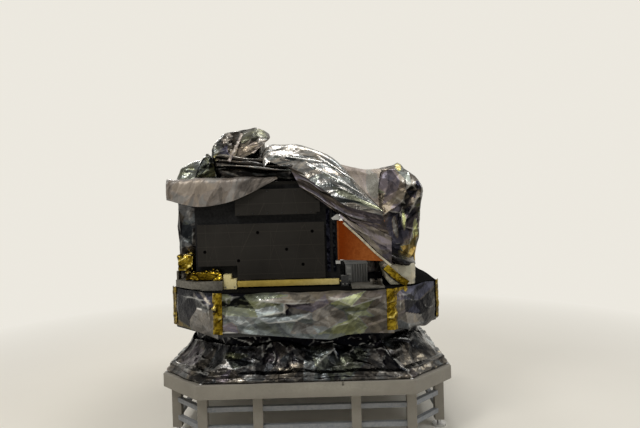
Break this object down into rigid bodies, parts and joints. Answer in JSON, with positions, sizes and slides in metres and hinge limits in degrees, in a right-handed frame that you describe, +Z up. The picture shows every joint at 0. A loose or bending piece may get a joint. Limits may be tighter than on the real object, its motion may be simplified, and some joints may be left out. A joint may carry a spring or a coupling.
{
  "type": "science satellite on a support stand",
  "caption": "Octagonal science satellite on its support stand, partly wrapped in crumpled thermal film, with fold-down solar wings and a cover door.",
  "frame": {"origin": "centre of the stand's footprint, on the floor", "axes": "+Z up, the front with the hinge rail and the cover door towards -Y, +X to the right seen from the front"},
  "size_m": [1.93, 1.93, 2.055],
  "materials": {
    "stand_beige": "satin beige paint",
    "stand_frame_paint": "satin blue-grey paint",
    "foot_steel": "zinc-plated steel",
    "bus_metal": "bare aluminium",
    "black_panel": "matte black paint",
    "film_dark": "dark silver film, crumpled",
    "film_silver": "bright silver film, crumpled",
    "film_taupe": "matte grey-brown film",
    "film_gold": "gold film, crumpled",
    "rail_yellow": "yellow chromate",
    "door_orange": "orange film on composite",
    "bracket_silver": "machined",
    "box_grey": "grey paint",
    "solar_cells": "glossy blue-black cells"
  },
  "bodies": {
    "root": {"adapter_ring": "bus_metal", "band_blanket_front": "film_dark", "band_blanket_front_left": "film_dark", "band_blanket_front_right": "film_dark", "band_blanket_left": "film_dark", "band_blanket_rear": "film_dark", "band_blanket_rear_left": "film_dark", "band_blanket_rear_right": "film_dark", "band_blanket_right": "film_dark", "bay_front_wall": "black_panel", "bay_left_wall": "black_panel", "bay_rear_wall": "black_panel", "bay_right_wall": "black_panel", "bay_top_deck": "black_panel", "bridge_blanket": "film_taupe", "bus_walls": "bus_metal", "deck_bracket_left": "box_grey", "deck_bracket_right": "box_grey", "door_brackets": "bracket_silver", "door_latch_post": "bracket_silver", "flap_blanket": "film_silver", "folded_blanket_left": "film_dark", "front_cover_panel": "black_panel", "front_hinge_block_left": "rail_yellow", "front_hinge_block_right": "rail_yellow", "hump_blanket": "film_silver", "instrument_pouch": "film_taupe", "left_wrapped_unit": "film_taupe", "lower_bay": "black_panel", "lower_deck": "bus_metal", "peak_blanket": "film_dark", "rear_cover_panel": "black_panel", "rear_electronics_box": "box_grey", "rear_hinge_block_left": "rail_yellow", "rear_hinge_block_right": "rail_yellow", "rear_wrapped_unit": "film_dark", "ribbed_electronics_box": "box_grey", "skirt_blanket": "film_dark", "stand_feet": "foot_steel", "stand_plinth": "stand_beige", "stand_posts": "stand_frame_paint", "stand_rails": "stand_frame_paint", "taupe_blanket": "film_taupe", "upper_deck": "bus_metal", "wrapped_actuator": "film_gold", "wrapped_instrument": "film_taupe"},
    "front_wing": {"front_wing_cells": "solar_cells", "front_wing_panel": "black_panel", "front_wing_rail": "rail_yellow", "front_wing_straps": "black_panel"},
    "rear_wing": {"rear_wing_cells": "solar_cells", "rear_wing_panel": "black_panel", "rear_wing_rail": "rail_yellow", "rear_wing_straps": "black_panel"},
    "door": {"cover_door": "door_orange"}
  },
  "joints": [
    {"name": "front_wing_fold", "type": "hinge", "parent": "root", "child": "front_wing", "pos_m": [-0.15, -0.728, 1], "axis": [1, 0, 0], "range_deg": [0, 90]},
    {"name": "rear_wing_fold", "type": "hinge", "parent": "root", "child": "rear_wing", "pos_m": [-0.15, 0.728, 1], "axis": [-1, 0, 0], "range_deg": [0, 90]},
    {"name": "door_swing", "type": "hinge", "parent": "root", "child": "door", "pos_m": [0.232, -0.735, 1.27], "axis": [0, 0, 1], "range_deg": [0, 30]}
  ]
}
